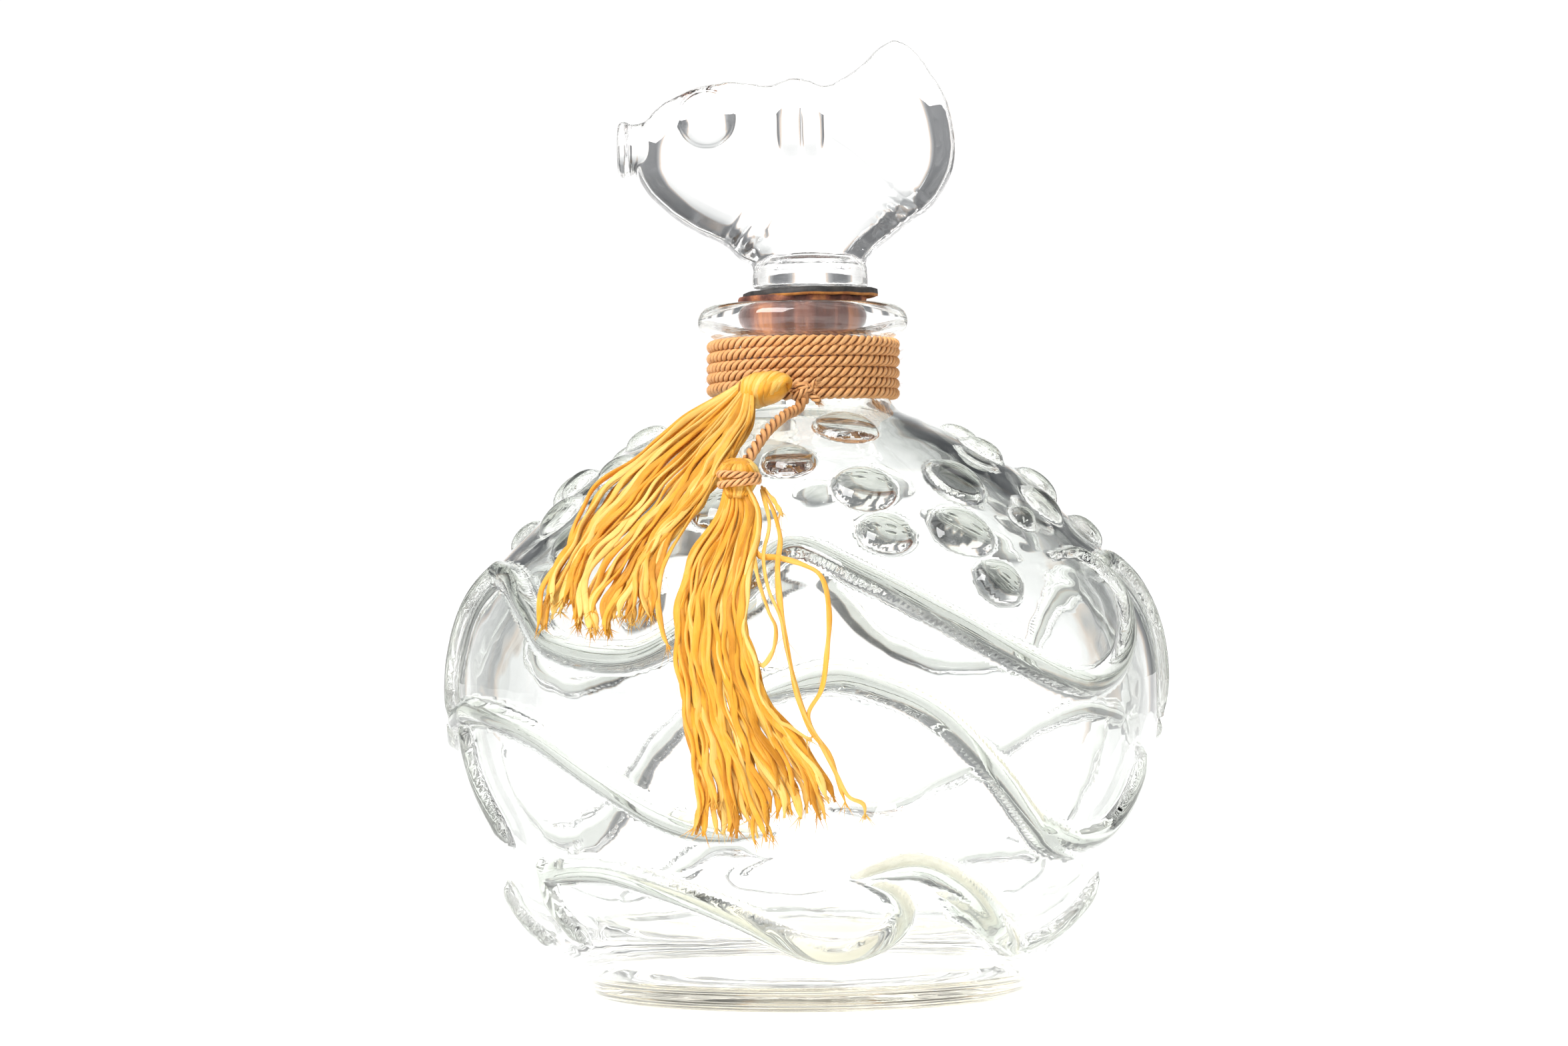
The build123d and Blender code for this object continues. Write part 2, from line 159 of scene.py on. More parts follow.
def skin_normal(z, step=0.4):
    """Outward normal of the smooth glass as (radial, vertical) parts."""
    run = skin_radius(np.asarray(z) + step) - skin_radius(np.asarray(z) - step)
    length = np.hypot(run, 2 * step)
    return 2 * step / length, -run / length


def off_skin(azimuth, z, height=0.0):
    """Points that stand off the smooth glass by a height along its normal."""
    azimuth, z, height = np.broadcast_arrays(np.radians(azimuth), np.asarray(z, float), height)
    radial, vertical = skin_normal(z)
    radius = skin_radius(z) + height * radial
    return np.stack([radius * np.sin(azimuth), -radius * np.cos(azimuth), z + height * vertical], axis=-1)


# ------------ meshes
def grid_faces(rings, around):
    """Quads between successive closed rings of a grid."""
    ring = np.arange(rings - 1)[:, None] * around
    here = np.arange(around)[None, :]
    beyond = (here + 1) % around
    corners = [ring + here, ring + beyond, ring + around + beyond, ring + around + here]
    return np.stack(corners, axis=-1).reshape(-1, 4)


def tube_faces(rings, around):
    """Faces of a closed tube; each end's centre point follows the rings."""
    faces = grid_faces(rings, around).tolist()
    first, last, base = rings * around, rings * around + 1, (rings - 1) * around
    for i in range(around):
        j = (i + 1) % around
        faces.append([first, j, i])
        faces.append([last, base + i, base + j])
    return faces


def placed(name, data):
    """Object in the scene that holds some data."""
    holder = bpy.data.objects.new(name, data)
    bpy.context.scene.collection.objects.link(holder)
    return holder


def new_object(name, points, faces, material, body, replaced):
    """Smooth mesh object from points in millimetres, riding on a body and standing for CAD nodes."""
    mesh = bpy.data.meshes.new(name)
    mesh.from_pydata((np.asarray(points) * MM).tolist(), [], [list(map(int, face)) for face in faces])
    mesh.validate()
    mesh.polygons.foreach_set("use_smooth", [True] * len(mesh.polygons))
    piece = placed(name, mesh)
    mesh.materials.append(material)
    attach(piece, body)
    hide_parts(*replaced)
    return piece


def lathe(outline, around):
    """Points and faces of a closed body of revolution; the outline runs from axis to axis."""
    inner = outline[1:-1]
    turn = np.linspace(0, 2 * math.pi, around, endpoint=False)
    rings = np.stack([inner[:, 0:1] * np.cos(turn), inner[:, 0:1] * np.sin(turn),
                      np.repeat(inner[:, 1:2], around, axis=1)], axis=-1)
    points = np.vstack([rings.reshape(-1, 3), [(0, 0, outline[0, 1])], [(0, 0, outline[-1, 1])]])
    return points, tube_faces(len(inner), around)


def arc(centre, radius, start, end, count):
    """Points of an arc in an outline, with angles in degrees."""
    angle = np.radians(np.linspace(start, end, count))
    return np.stack([centre[0] + radius * np.cos(angle), centre[1] + radius * np.sin(angle)], axis=1)


# ------------ materials
class Wiring:
    """Nodes and links of one material or world. A value is a plain one or another node's output."""

    def __init__(self, owner, output):
        owner.use_nodes = True
        self.nodes, self.links = owner.node_tree.nodes, owner.node_tree.links
        self.nodes.clear()
        self.output = self.nodes.new(output)

    def feed(self, socket, value):
        """Link an output to a socket, or put a plain value on it."""
        if isinstance(value, bpy.types.NodeSocket):
            self.links.new(value, socket)
        else:
            socket.default_value = value

    def node(self, kind, values=()):
        """Node with its named inputs fed."""
        node = self.nodes.new(kind)
        for name, value in dict(values).items():
            self.feed(node.inputs[name], value)
        return node

    def surface(self, shader):
        """Lead a shader to the output."""
        self.links.new(shader.outputs[0], self.output.inputs["Surface"])

    def attribute(self, name, output):
        """Value that the mesh carries at each point."""
        node = self.nodes.new("ShaderNodeAttribute")
        node.attribute_name = name
        return node.outputs[output]

    def place(self, kind="Object"):
        """Place on the piece, or direction in the world."""
        return self.node("ShaderNodeTexCoord").outputs[kind]

    def noise(self, scale, vector, detail, roughness=0.5):
        """Noise texture."""
        values = {"Scale": scale, "Vector": vector, "Detail": detail, "Roughness": roughness}
        return self.node("ShaderNodeTexNoise", values).outputs["Fac"]

    def ramp(self, value, stops):
        """Colour ramp through (place, colour) stops."""
        node = self.node("ShaderNodeValToRGB", {"Fac": value})
        while len(node.color_ramp.elements) < len(stops):
            node.color_ramp.elements.new(0.5)
        for element, (place, colour) in zip(node.color_ramp.elements, stops):
            element.position = place
            element.color = (*colour, 1)
        return node.outputs["Color"]

    def multiplied(self, first, second, share=1.0):
        """One colour multiplied by another."""
        mix = self.node("ShaderNodeMix")
        mix.data_type = "RGBA"
        mix.blend_type = "MULTIPLY"
        mix.inputs["Factor"].default_value = share
        self.feed(mix.inputs[6], first)
        self.feed(mix.inputs[7], second)
        return mix.outputs[2]

    def worked_out(self, operation, *values):
        """Result of a Math node."""
        node = self.node("ShaderNodeMath")
        node.operation = operation
        for socket, value in zip(node.inputs, values):
            self.feed(socket, value)
        return node.outputs[0]

    def bump(self, height, strength, distance):
        """Normal that follows a height."""
        values = {"Height": height, "Strength": strength, "Distance": distance}
        return self.node("ShaderNodeBump", values).outputs["Normal"]

    def mixed(self, share, first, second):
        """Mix of two shaders."""
        mix = self.node("ShaderNodeMixShader")
        for socket, value in zip(mix.inputs, (share, first.outputs[0], second.outputs[0])):
            self.feed(socket, value)
        return mix


def new_material(name):
    """Empty node material, with what wires it."""
    material = bpy.data.materials.new(name)
    return material, Wiring(material, "ShaderNodeOutputMaterial")


def glass_material(name, tint_and_shade, ripple, ripple_scale, painted_edge_shade):
    """Clear glass with faint ripples and painted edge shade that makes it darker grey seen edge on; lamps
    reach what is behind it. Without a tint it takes its colour from the mesh's own tint, painted shade
    included."""
    material, net = new_material(name)
    facing = net.node("ShaderNodeLayerWeight", {"Blend": 0.5}).outputs["Facing"]
    own = (*tint_and_shade, 1) if tint_and_shade else net.attribute("tint_and_shade", "Color")
    waves = net.noise(ripple_scale, net.place(), 2.0)
    glass = net.node("ShaderNodeBsdfPrincipled", {
        "Base Color": net.multiplied(net.ramp(facing, painted_edge_shade), own), "Transmission Weight": 1.0,
        "Roughness": 0.0, "IOR": GLASS_IOR, "Normal": net.bump(waves, ripple, 0.001)})
    clear = net.node("ShaderNodeBsdfTransparent", {"Color": (0.97, 0.975, 0.97, 1)})
    net.surface(net.mixed(net.node("ShaderNodeLightPath").outputs["Is Shadow Ray"], glass, clear))
    return material


# ------------ the glass bottle
def wave_samples():
    """Points along every wave on both halves of the bottle, with the wave's half width at each."""
    places, widths = [], []
    for points, start_point, end_point in RIDGES:
        line = even_line(smooth_line(points, 12), 0.4)
        share = np.linspace(0, 1, len(line))
        width = np.full(len(line), RIDGE_HALF_WIDTH)
        if start_point:
            width *= np.clip(share / 0.18, 0.12, 1) ** 0.6
        if end_point:
            width *= np.clip((1 - share) / 0.15, 0.12, 1) ** 0.6
        for turn in (0, 180):
            places.append(off_skin(line[:, 0] + turn, line[:, 1]))
            widths.append(width)
    return np.vstack(places), np.concatenate(widths)


def nearest(places, targets):
    """Distance from each place to the nearest target, and which target that is."""
    tree = KDTree(len(targets))
    for index, target in enumerate(targets):
        tree.insert(target, index)
    tree.balance()
    found = [tree.find(place) for place in places]
    return np.array([hit[2] for hit in found]), np.array([hit[1] for hit in found])


def raised(share, sharpness):
    """Bead section: 1 on its middle line, falling steeply to 0 at its edge."""
    return np.clip(1 - np.clip(share, 0, 1) ** sharpness, 0, 1) ** 0.62


def relief(places):
    """How far the pattern stands out of the smooth glass at each place."""
    lines, widths = wave_samples()
    distance, index = nearest(places, lines)
    width = widths[index]
    height = RELIEF * (width / RIDGE_HALF_WIDTH) ** 0.5 * raised(distance / width, 2.6)
    for azimuth, z, diameter in BUBBLES:
        for turn in (0, 180):
            share = np.linalg.norm(places - off_skin(azimuth + turn, z), axis=1) / (diameter / 2)
            height = np.maximum(height, BUBBLE_RELIEF * raised(share, 2.2))
    return height


def body_outline():
    """The glass's whole section from the foot's centre, over the lip, to the inner floor's centre."""
    foot = np.vstack([[(0, 0), (20, 0), (36, 0)],
                      arc((FOOT_RADIUS - FOOT_EDGE, FOOT_EDGE), FOOT_EDGE, -90, 0, 7),
                      [(FOOT_RADIUS, 3.0), (FOOT_RADIUS + 0.1, 3.9), (FOOT_RADIUS + 0.5, 4.3)]])
    body = even_line(SKIN_LINE, 0.62)
    lip_radius = (LIP_TOP_Z - LIP_BOTTOM_Z) / 2
    lip = np.vstack([[(NECK_RADIUS, 114), (NECK_RADIUS, 122.6), (NECK_RADIUS + 0.3, 123.3)],
                     arc((LIP_RADIUS - lip_radius, LIP_BOTTOM_Z + lip_radius), lip_radius, -80, 100, 17),
                     arc((BORE_RADIUS + 1.8, LIP_TOP_Z - 1.8), 1.8, 95, 180, 8)])
    cavity = even_line(smooth_line(CAVITY_SKIN, 12), 2.2)[::-1]
    bore = [(BORE_RADIUS, 122), (BORE_RADIUS, 116)]
    return np.vstack([foot, body, lip, bore, cavity]), len(foot), len(body), len(lip)


def glass_bottle(material):
    """Bottle as one closed skin: raised pattern outside, gently uneven wall inside."""
    around = 500
    outline, foot_rows, body_rows, lip_rows = body_outline()
    points, faces = lathe(outline, around)
    rows = slice((foot_rows - 1) * around, (foot_rows - 1 + body_rows) * around)
    outer = points[rows]
    radial, vertical = skin_normal(outer[:, 2])
    flat = np.hypot(outer[:, 0], outer[:, 1])[:, None]
    normal = np.concatenate([outer[:, :2] / flat * radial[:, None], vertical[:, None]], axis=1)
    stand = relief(outer)
    points[rows] = outer + normal * stand[:, None]
    inner = points[rows.stop + lip_rows * around:-2]
    wobble = np.sin(inner[:, 0] * 0.11 + inner[:, 2] * 0.07) * np.cos(inner[:, 1] * 0.09 - inner[:, 2] * 0.05)
    inner[:, :2] *= 1 + 0.004 * wobble[:, None]
    piece = new_object("bottle_glass", points, faces, material, "bottle", ["glass_bottle"])
    tint_and_shade = np.tile(CLEAR_TINT, (len(points), 1))
    raise_share = np.clip(stand / RELIEF, 0, 1)[:, None] ** 0.7
    # Painted shade: the raised pattern's tint darkens to grey-green as the pattern stands out further.
    tint_and_shade[rows] += raise_share * (np.array(RAISED_TINT_AND_SHADE) - CLEAR_TINT)
    foot = points[:, 2] < FOOT_TOP_Z
    tint_and_shade[foot] = FOOT_TINT
    colours = piece.data.attributes.new("tint_and_shade", "FLOAT_VECTOR", "POINT")
    colours.data.foreach_set("vector", tint_and_shade.astype(np.float32).ravel())
    return piece


# ------------ the fish stopper
FISH = [(-32.4, 154.3), (-32.9, 157.0), (-32.7, 161.0), (-31.7, 163.7), (-29.4, 166.9), (-25.6, 169.4),
        (-20.6, 171.5), (-14.2, 172.3), (-7.9, 171.6), (-5.4, 172.3), (-2.9, 173.0), (0.2, 172.5),
        (2.2, 171.6), (4.7, 171.9), (9.7, 175.1), (12.9, 178.2), (16.6, 179.9), (20.4, 177.6),
        (23.6, 173.2), (26.1, 168.8), (27.6, 161.8), (27.4, 156.2), (25.5, 151.7), (22.8, 148.0),
        (19.8, 146.0), (15.4, 142.5), (12.2, 140.0), (10.3, 137.4), (10.0, 134.5), (0.0, 134.2),
        (-10.0, 134.5), (-10.6, 137.2), (-13.2, 138.6), (-16.1, 141.3), (-20.6, 143.5), (-25.0, 146.1),
        (-29.4, 149.9), (-31.3, 152.4)]
EYE = (-19.3, 165.0)


def upright(places):
    """Flat (x, z) places stood up in the fish's plane."""
    return np.insert(places, 1, 0.0, axis=1)


def line_distance(places, points):
    """Distance of flat places from a smooth line through points, and the share of the line passed there."""
    line = smooth_line(points, 10) if len(points) > 2 else np.array(points, float)
    line = even_line(line, 0.25)
    distance, index = nearest(upright(places), upright(line))
    return distance, index / (len(line) - 1)


def fish_detail(places):
    """Pressed detail on the fish's flanks: eye, gill bands, fin line, fin rays, breast fin and dots."""
    x, z = places[:, 0], places[:, 1]
    eye = np.hypot(x - EYE[0], z - EYE[1])
    height = 0.75 * raised(eye / 5.0, 5)
    height += 0.35 * np.exp(-((eye - 2.4) / 0.45) ** 2) - 0.25 * np.exp(-((eye - 5.6) / 0.5) ** 2)
    fade = np.clip((z - 157.5) / 4.0, 0, 1)
    for middle, half in ((-3.7, 1.9), (0.4, 1.7)):
        height += 0.7 * raised(np.abs(x - middle - 0.02 * (172 - z)) / half, 3) * fade
    fin = [(4.6, 162.6), (9.4, 159.2), (14.2, 154.8), (19.6, 150.4), (22.4, 148.2)]
    distance, _ = line_distance(places, fin)
    height += 0.45 * np.exp(-(distance / 0.55) ** 2)
    for ray in range(6):
        top = (14.6 + 0.75 * ray, 150.8 - 1.6 * (5 - ray) + 1.2)
        distance, _ = line_distance(places, [(top[0] - 2.6, top[1] + 0.9), (top[0] + 0.2, top[1] - 0.7)])
        height -= 0.5 * np.exp(-(distance / 0.4) ** 2)
    for points in ([(-14.6, 142.6), (-12.4, 145.4), (-10.3, 149.8)],
                   [(-12.2, 141.2), (-9.0, 145.4), (-5.6, 151.6)]):
        distance, share = line_distance(places, points)
        height += 0.8 * np.exp(-(distance / 0.8) ** 2) * (1 - 0.6 * share)
    for dot_x, dot_z in ((-9.2, 142.6), (-8.4, 140.6)):
        height += 0.6 * np.exp(-(np.hypot(x - dot_x, z - dot_z) / 1.1) ** 2)
    return height


def fish_slab():
    """Both flanks of the fish, joined at its outline."""
    outline = even_line(smooth_line(FISH + FISH[:1], 8), 0.5)[:-1]
    count = len(outline)
    across = np.arange(-34, 29, 0.5)
    upward = np.arange(133, 181, 0.5)
    grid_x, grid_z = np.meshgrid(across, upward)
    rows = np.stack([grid_x + 0.25 * (np.arange(len(upward)) % 2)[:, None], grid_z], axis=-1).reshape(-1, 2)
    after = np.roll(outline, -1, axis=0)
    inside = []
    for x, z in rows:
        crossing = (outline[:, 1] > z) != (after[:, 1] > z)
        run = (after[crossing, 0] - outline[crossing, 0]) / (after[crossing, 1] - outline[crossing, 1])
        inside.append(np.count_nonzero(x < outline[crossing, 0] + (z - outline[crossing, 1]) * run) % 2 == 1)
    rows = rows[np.array(inside)]
    depth, _ = nearest(upright(rows), upright(outline))
    rows, depth = rows[depth > 0.3], depth[depth > 0.3]
    flat = np.vstack([outline, rows])
    edges = [(i, (i + 1) % count) for i in range(count)]
    _, _, faces, _, _, _ = delaunay_2d_cdt([Vector(p) for p in flat], edges, [], 1, 1e-6)
    depth = np.concatenate([np.zeros(count), depth])
    bulk = FISH_RIM_HALF_THICKNESS * np.sqrt(1 - (1 - np.clip(depth, 0, 1)) ** 2)
    bulk = np.minimum(bulk + FISH_BEVEL_SLOPE * np.clip(depth - 1, 0, None), FISH_HALF_THICKNESS)
    level = np.clip(depth / 1.5, 0, 1) * fish_detail(flat)
    half = np.where(depth > 0, np.maximum(bulk, 0.02) + level * 0.8, 0)
    front = np.stack([flat[:, 0], -half, flat[:, 1]], axis=1)
    back = np.stack([flat[:, 0], half, flat[:, 1]], axis=1)
    points = np.vstack([front, back[count:]])
    other = {i: i if i < count else i + len(flat) - count for i in range(len(flat))}
    faces = [list(face) for face in faces]
    return points, faces + [[other[i] for i in reversed(face)] for face in faces]


def turned_piece(outline, around, centre, axis="z"):
    """Lathe round a vertical or a sideways axis."""
    points, faces = lathe(np.array(outline, float), around)
    if axis == "x":
        points = np.stack([points[:, 2], points[:, 0], points[:, 1]], axis=1)
    return points + np.array(centre), faces


def fish_stopper(material):
    """Solid glass fish with its lips, its round collar and the peg below it, blended into one."""
    parts = [fish_slab()]
    collar = np.vstack([[(0, 133)], arc((10.35, 133.5), 0.55, -90, 0, 5), arc((10.35, 135.6), 0.55, 0, 60, 4),
                        arc((10.35, 136.7), 0.5, -30, 90, 6), [(9.6, 138.4), (0, 139.5)]])
    parts.append(turned_piece(collar, 72, (0, 0, 0)))
    peg = [(0, 119.2), (6.1, 119.2), (6.4, 119.6), (6.4, 134.0), (0, 134.0)]
    parts.append(turned_piece(peg, 48, (0, 0, 0)))
    lips = np.vstack([[(0, -36.2), (3.9, -36.2)], arc((4.3, -35.0), 1.15, -85, 60, 8),
                      [(4.75, -33.6), (4.9, -32.4), (5.2, -31.2), (4.6, -30.0), (0, -30.0)]])
    parts.append(turned_piece(lips, 56, (0, 0, 159.6), "x"))
    points, faces, base = [], [], 0
    for part_points, part_faces in parts:
        points.append(part_points)
        faces += [[i + base for i in face] for face in part_faces]
        base += len(part_points)
    points = np.vstack(points) + (STOPPER_X, 0, 0)
    piece = new_object("fish_glass", points, faces, material, "stopper_fish",
                       ["fish_stopper"])
    blend = piece.modifiers.new("blend", "REMESH")
    blend.mode = "VOXEL"
    blend.voxel_size = 0.42 * MM
    blend.use_smooth_shade = True
    soften = piece.modifiers.new("soften", "SMOOTH")
    soften.factor = 0.5
    soften.iterations = 5
    apply_modifiers(piece)
    return piece


def apply_modifiers(piece):
    """Replace a piece's mesh with what its modifiers make of it."""
    bpy.context.view_layer.update()
    result = bpy.data.meshes.new_from_object(piece.evaluated_get(bpy.context.evaluated_depsgraph_get()))
    piece.modifiers.clear()
    piece.data = result
    result.polygons.foreach_set("use_smooth", [True] * len(result.polygons))


# ------------ cork and washer
def cork_material():
    """Red-brown cork with darker and lighter grain."""
    material, net = new_material("cork_grain")
    place = net.place()
    grain = net.noise(190.0, place, 6.0, 0.62)
    patches = net.node("ShaderNodeTexVoronoi", {"Scale": 420.0, "Vector": place}).outputs["Distance"]
    colour = net.ramp(grain, [
        (0.36, (0.028, 0.009, 0.006)), (0.47, (0.10, 0.031, 0.019)), (0.56, (0.21, 0.070, 0.040)),
        (0.68, (0.52, 0.20, 0.07))])
    spots = net.ramp(patches, [(0.0, (0.55, 0.5, 0.48)), (0.35, (1, 1, 1))])
    net.surface(net.node("ShaderNodeBsdfPrincipled", {
        "Base Color": net.multiplied(colour, spots, 0.55), "Roughness": 0.75,
        "Normal": net.bump(grain, 0.6, 0.0005)}))
    return material


def cork(material):
    """Tapered cork with pitted sides and a blind hole for the fish's peg."""
    side = np.stack([np.linspace(11.35, 12.22, 40), np.linspace(112.9, 131.0, 40)], axis=1)
    outline = np.vstack([[(0, 112.4), (6, 112.4), (11.0, 112.5)], side,
                         [(12.0, 131.35), (10.2, 131.4), (8.3, 131.4)],
                         [(8.1, 131.2), (8.1, 119.0), (0, 118.7)]])
    points, faces = lathe(outline, 150)
    rng = np.random.default_rng(5)
    x, y, z = points.T
    radius = np.hypot(x, y)
    skin = (radius > 10.8) & (z > 112.8) & (z < 131.2)
    wave = 0.10 * np.sin(x * 2.1 + z * 0.9) * np.sin(y * 1.7 - z * 1.3)
    pits = np.zeros(len(points))
    for pit in rng.uniform([-math.pi, 113], [math.pi, 131], (90, 2)):
        place = np.array([11.9 * math.sin(pit[0]), -11.9 * math.cos(pit[0]), pit[1]])
        pits += 0.45 * np.exp(-(np.linalg.norm(points - place, axis=1) / rng.uniform(0.35, 0.8)) ** 2)
    change = np.where(skin, -np.abs(wave) - pits, 0)[:, None]
    points[:, :2] *= 1 + change / np.maximum(radius, 1)[:, None]
    return new_object("cork_body", points, faces, material, "stopper_cork", ["cork"])


def rubber_material(name, dark, light, roughness):
    """Worn seal material with scuffs."""
    material, net = new_material(name)
    scuffs = net.noise(420.0, net.place(), 7.0, 0.65)
    net.surface(net.node("ShaderNodeBsdfPrincipled", {
        "Base Color": net.ramp(scuffs, [(0.35, dark), (0.75, light)]), "Roughness": roughness,
        "Normal": net.bump(scuffs, 0.5, 0.0004)}))
    return material


def washer(top, under):
    """Thin warped seal, black above and orange-brown below."""
    around = 140
    section = [(7.4, -0.46), (12.35, -0.50), (12.42, -1.10), (12.72, -1.05), (12.78, -0.62), (12.68, 0.28),
               (12.2, 0.48), (7.4, 0.48)]
    points, faces = [], []
    for r, z in section:
        for turn in np.linspace(0, 2 * math.pi, around, endpoint=False):
            frayed = r + (0.10 * math.sin(9 * turn) * math.sin(23 * turn + 1) if r > 12 else 0)
            x, y = frayed * math.cos(turn), frayed * math.sin(turn)
            warp = 0.026 * x + 0.10 * math.sin(3 * turn + 0.6) * (r / 12.7) ** 2
            warp += 0.05 * math.sin(11 * turn) * (r > 12)
            points.append((x + STOPPER_X, y, WASHER_Z + z + warp))
    rows = len(section)
    for row in range(rows):
        for i in range(around):
            j = (i + 1) % around
            a, b = row * around, (row + 1) % rows * around
            faces.append([a + i, a + j, b + j, b + i])
    piece = new_object("washer_disc", points, faces, top, "stopper_fish", ["washer"])
    piece.data.materials.append(under)
    below = [0 if row > 3 else 1 for row in range(rows) for _ in range(around)]
    piece.data.polygons.foreach_set("material_index", below)
    return piece


# ------------ threads
def axes_along(line, outward):
    """Unit side and up directions at each point of a line; up leans towards the outward direction."""
    tangent = np.gradient(line, axis=0)
    tangent /= np.linalg.norm(tangent, axis=1)[:, None] + 1e-9
    up = outward - tangent * np.sum(outward * tangent, axis=1)[:, None]
    up /= np.linalg.norm(up, axis=1)[:, None] + 1e-9
    return np.cross(tangent, up), up


def outward_of(line):
    """Direction away from the bottle's axis at each point, leaning upwards on the shoulder."""
    flat = np.hypot(line[:, 0], line[:, 1])[:, None] + 1e-9
    radial, vertical = skin_normal(np.clip(line[:, 2], 6, 111))
    return np.concatenate([line[:, :2] / flat * radial[:, None], vertical[:, None]], axis=1)


def scatter(rng, x, y, z):
    """Random step with a spread along each axis."""
    return np.array([rng.gauss(0, x), rng.gauss(0, y), rng.gauss(0, z)])


class Threads:
    """Gathers tubes into one mesh, with each point's place along and round its own thread."""

    def __init__(self):
        self.points, self.faces, self.thread, self.shade = [], [], [], []
        self.total = 0

    def tube(self, line, width, depth=None, sides=8, shade=0.5, turn=0.0, outward=None, painted_crease_shade=0.0):
        """Thread: an oval swept along a line, closed at both ends; painted crease shade darkens its inner
        side.
        """
        line = np.asarray(line, float)
        side, up = axes_along(line, outward_of(line) if outward is None else outward)
        width = np.broadcast_to(width, len(line))
        depth = width if depth is None else np.broadcast_to(depth, len(line))
        turn = np.broadcast_to(turn, len(line))
        angle = np.linspace(0, 2 * math.pi, sides, endpoint=False)
        u = width[:, None] * np.cos(angle)
        v = depth[:, None] * (np.sin(angle) + 0.18 * np.cos(2 * angle))
        a = u * np.cos(turn)[:, None] - v * np.sin(turn)[:, None]
        b = u * np.sin(turn)[:, None] + v * np.cos(turn)[:, None]
        rings = line[:, None, :] + a[..., None] * side[:, None, :] + b[..., None] * up[:, None, :]
        along = length_along(line) + 37.0 * shade
        thread = np.stack([np.repeat(along, sides), np.tile(np.cos(angle), len(line)),
                           np.tile(np.sin(angle), len(line))], axis=1)
        self.points += [rings.reshape(-1, 3), line[:1], line[-1:]]
        self.thread += [thread, [(along[0], 0, 0)], [(along[-1], 0, 0)]]
        # Painted shade: the side of the tube that faces into a cord's creases gets a darker shade.
        dark = painted_crease_shade * np.clip(0.45 - np.cos(angle), 0, 1)
        self.shade.append(np.concatenate([np.tile(shade - dark, len(line)), [shade, shade]]))
        self.faces += [[corner + self.total for corner in face] for face in tube_faces(len(line), sides)]
        self.total += len(line) * sides + 2

    def cord(self, line, radius, lead, outward=None, plies=3, sides=8, shade=0.5, rng=None):
        """Plies twisted round a line."""
        side, up = axes_along(line, outward_of(line) if outward is None else outward)
        along = length_along(line)
        for ply in range(plies):
            angle = (2 * math.pi * (along / lead + ply / plies))[:, None]
            path = line + 0.56 * radius * (np.cos(angle) * side + np.sin(angle) * up)
            tone = shade + (rng.uniform(-0.08, 0.08) if rng else 0)
            # Each ply carries painted shade on the side that faces its neighbours.
            self.tube(path, 0.47 * radius, sides=sides, shade=tone, turn=angle[:, 0], outward=outward,
                      painted_crease_shade=1.1)

    def fibre(self, start, direction, length, rng, radius=0.035, shade=0.6, sag=0.3):
        """Fine loose fibre that bends as it goes."""
        share = np.linspace(0, 1, 7)[:, None]
        bend = np.array([rng.uniform(-1, 1), rng.uniform(-1, 1), rng.uniform(-1, 0.3)]) * sag * length
        direction = np.asarray(direction, float) / (np.linalg.norm(direction) + 1e-9)
        line = np.asarray(start) + direction * length * share + bend * share ** 2
        self.tube(line, radius * (1.1 - share[:, 0]), sides=3, shade=shade)

    def piece(self, name, material, body, slot, replaced):
        """The gathered threads as one object."""
        piece = new_object(name, np.vstack(self.points), self.faces, material, body, replaced)
        thread = piece.data.attributes.new("thread", "FLOAT_VECTOR", "POINT")
        thread.data.foreach_set("vector", np.vstack(self.thread).astype(np.float32).ravel())
        shade = piece.data.attributes.new("shade", "FLOAT", "POINT")
        shade.data.foreach_set("value", np.concatenate(self.shade).astype(np.float32))
        return piece


def thread_material(name, dark, middle, light, glow, streaks, sheen):
    """Thread with fine lengthwise fibres, uneven dye, the painted crease shade that cords carry, and a little
    light passing through.
    """
    material, net = new_material(name)
    thread = net.attribute("thread", "Vector")
    drawn_out = net.node("ShaderNodeMapping", {"Scale": (0.22, streaks, streaks), "Vector": thread})
    fibres = net.noise(1.6, drawn_out.outputs["Vector"], 4.0, 0.6)
    tone = net.worked_out("MULTIPLY_ADD", fibres, 0.45, net.attribute("shade", "Fac"))
    tone = net.worked_out("MULTIPLY_ADD", net.noise(0.35, thread, 2.0), 0.40, tone)
    tone = net.worked_out("MULTIPLY", tone, 0.55)
    colour = net.ramp(tone, [(0.20, dark), (0.48, middle), (0.80, light)])
    surface = net.node("ShaderNodeBsdfPrincipled", {
        "Base Color": colour, "Roughness": 0.36, "Specular IOR Level": 0.35, "Sheen Weight": sheen,
        "Sheen Tint": (*light, 1), "Normal": net.bump(fibres, 0.55, 0.00025)})
    through = net.node("ShaderNodeBsdfTranslucent", {"Color": colour})
    net.surface(net.mixed(glow, surface, through))
    return material


# ------------ neck cord
HEAD_A_START = np.array((-5.8, -21.9, 113.3))
HEAD_A_END = np.array((-9.6, -20.7, 112.9))
NECK_KNOT = np.array((-0.2, -20.65, 112.3))
KNOT_B = off_skin(-13.4, 92.3, 6.3)
CORD_ROUTE = [(-0.2, -21.2, 111.4), (-1.3, -22.0, 109.4), (-3.7, -29.2, 107.9), (-7.1, -37.6, 104.5),
              (-10.4, -45.4, 99.4)]


